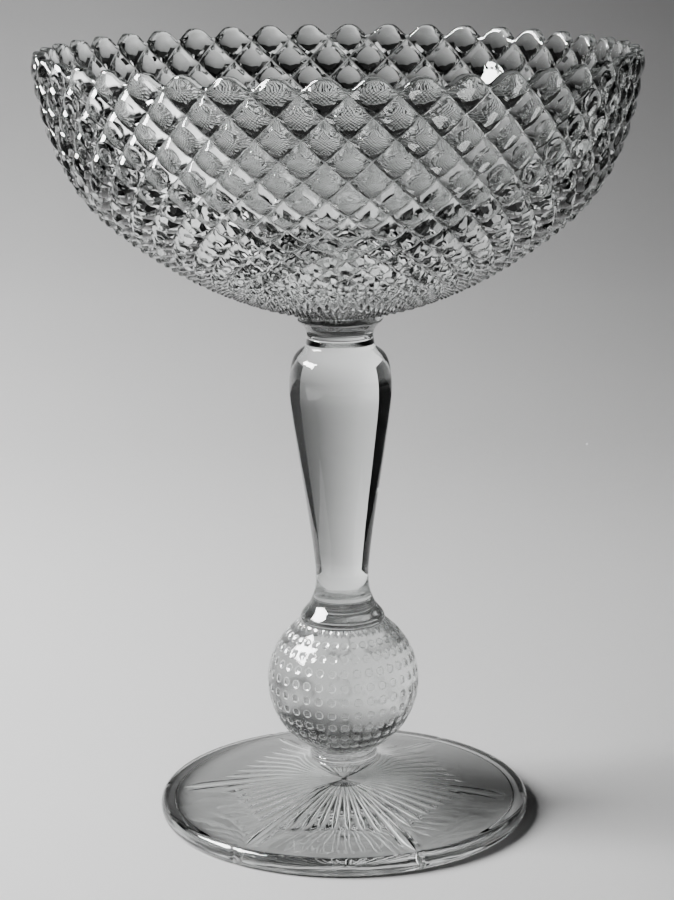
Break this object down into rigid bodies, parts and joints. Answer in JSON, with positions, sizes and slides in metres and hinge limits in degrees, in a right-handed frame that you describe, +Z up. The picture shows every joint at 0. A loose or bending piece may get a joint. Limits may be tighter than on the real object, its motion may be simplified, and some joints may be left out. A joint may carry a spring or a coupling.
{
  "type": "compote",
  "caption": "Tall footed bowl of clear pressed glass with a scalloped rim, a diamond lattice, a baluster stem, a dimpled ball knop and a rayed round foot",
  "frame": {"origin": "middle of the foot's resting plane, on the surface that the compote stands on", "axes": "+Z up along the stem; -Y is the front that the picture shows, +X to its right"},
  "size_m": [0.1896, 0.1896, 0.2506],
  "materials": {
    "foot_glass": "clear pressed glass, fire polished",
    "stem_glass": "clear solid glass, fire polished",
    "bowl_glass": "clear pressed glass, sharp diamonds, fire polished rim"
  },
  "bodies": {
    "root": {"foot": "foot_glass", "foot_wafer": "stem_glass", "ball_knop": "stem_glass", "flared_collar": "stem_glass", "stem_baluster": "stem_glass", "bowl_wafer": "stem_glass", "bowl": "bowl_glass"}
  },
  "joints": []
}
